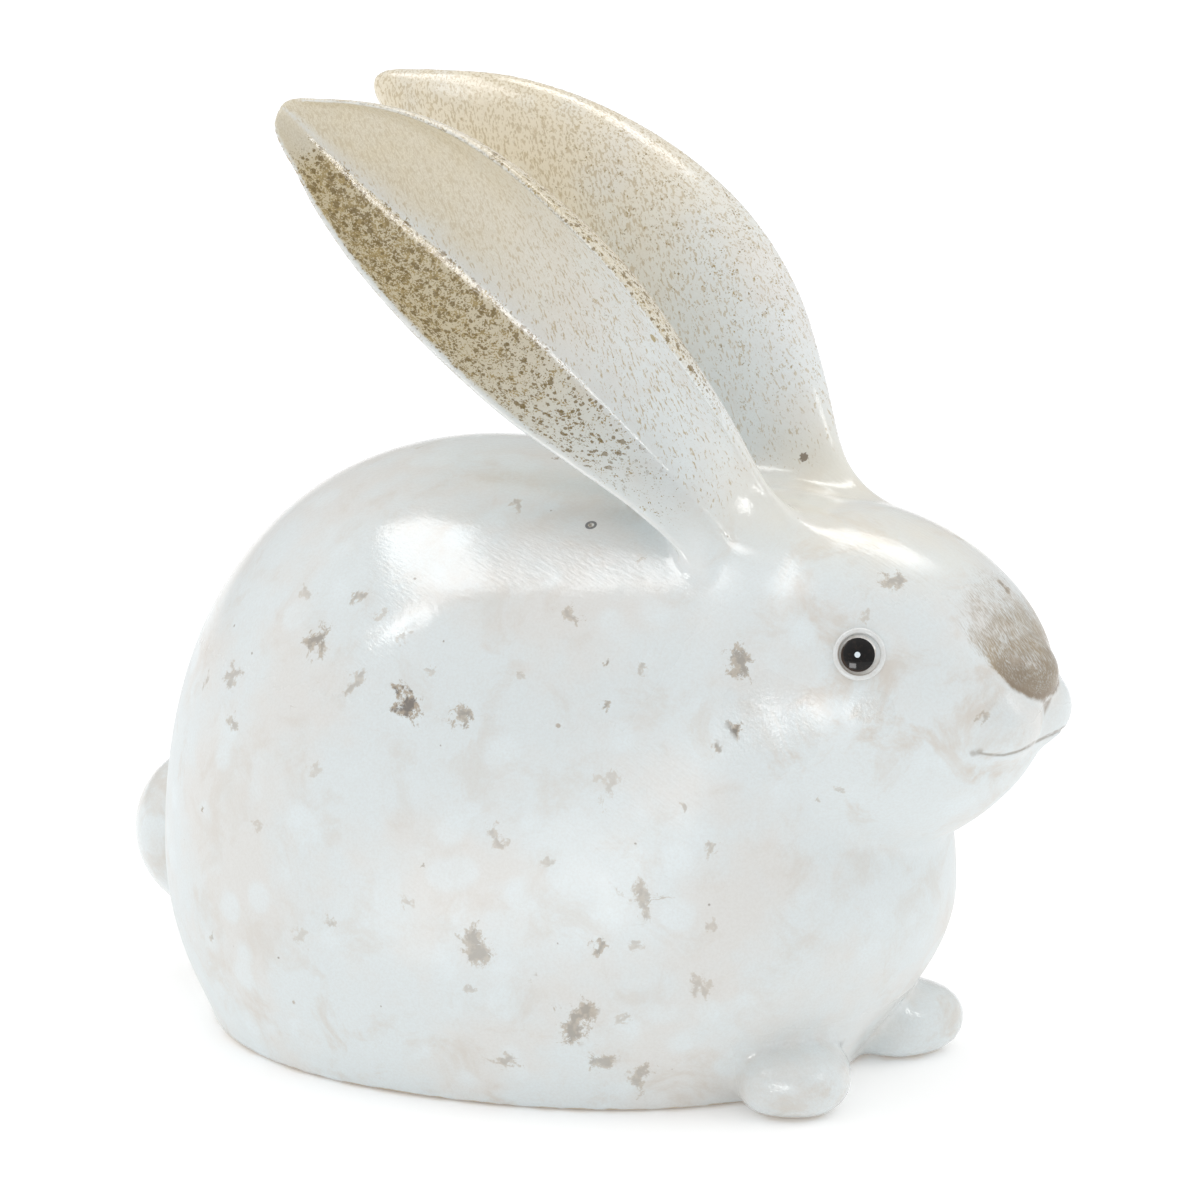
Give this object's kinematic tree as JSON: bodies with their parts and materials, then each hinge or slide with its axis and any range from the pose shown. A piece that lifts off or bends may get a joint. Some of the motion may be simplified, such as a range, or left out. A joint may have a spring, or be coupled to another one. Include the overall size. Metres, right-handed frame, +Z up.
{
  "type": "ceramic rabbit figurine",
  "caption": "Glazed ceramic rabbit figurine, sitting, with a round hollow body, long scooped ears laid back, ringed domed eyes, a pellet tail and small front paws.",
  "frame": {"origin": "on the ground, in the middle of the flat foot that the rabbit sits on", "axes": "+X forward towards the nose, +Y towards the rabbit's left, +Z up"},
  "size_m": [0.282, 0.17, 0.2564],
  "materials": {
    "body_glaze": "gloss",
    "ear_glaze": "gloss",
    "eye_glaze": "gloss",
    "black_enamel": "gloss",
    "white_enamel": "gloss"
  },
  "bodies": {
    "root": {"body_casting": "body_glaze", "right_ear": "ear_glaze", "left_ear": "ear_glaze", "tail": "body_glaze", "right_front_paw": "body_glaze", "left_front_paw": "body_glaze", "right_eye_ring": "eye_glaze", "left_eye_ring": "eye_glaze", "right_eyeball": "eye_glaze", "left_eyeball": "eye_glaze", "right_pupil": "black_enamel", "left_pupil": "black_enamel", "right_eye_highlight": "white_enamel", "left_eye_highlight": "white_enamel"}
  },
  "joints": []
}
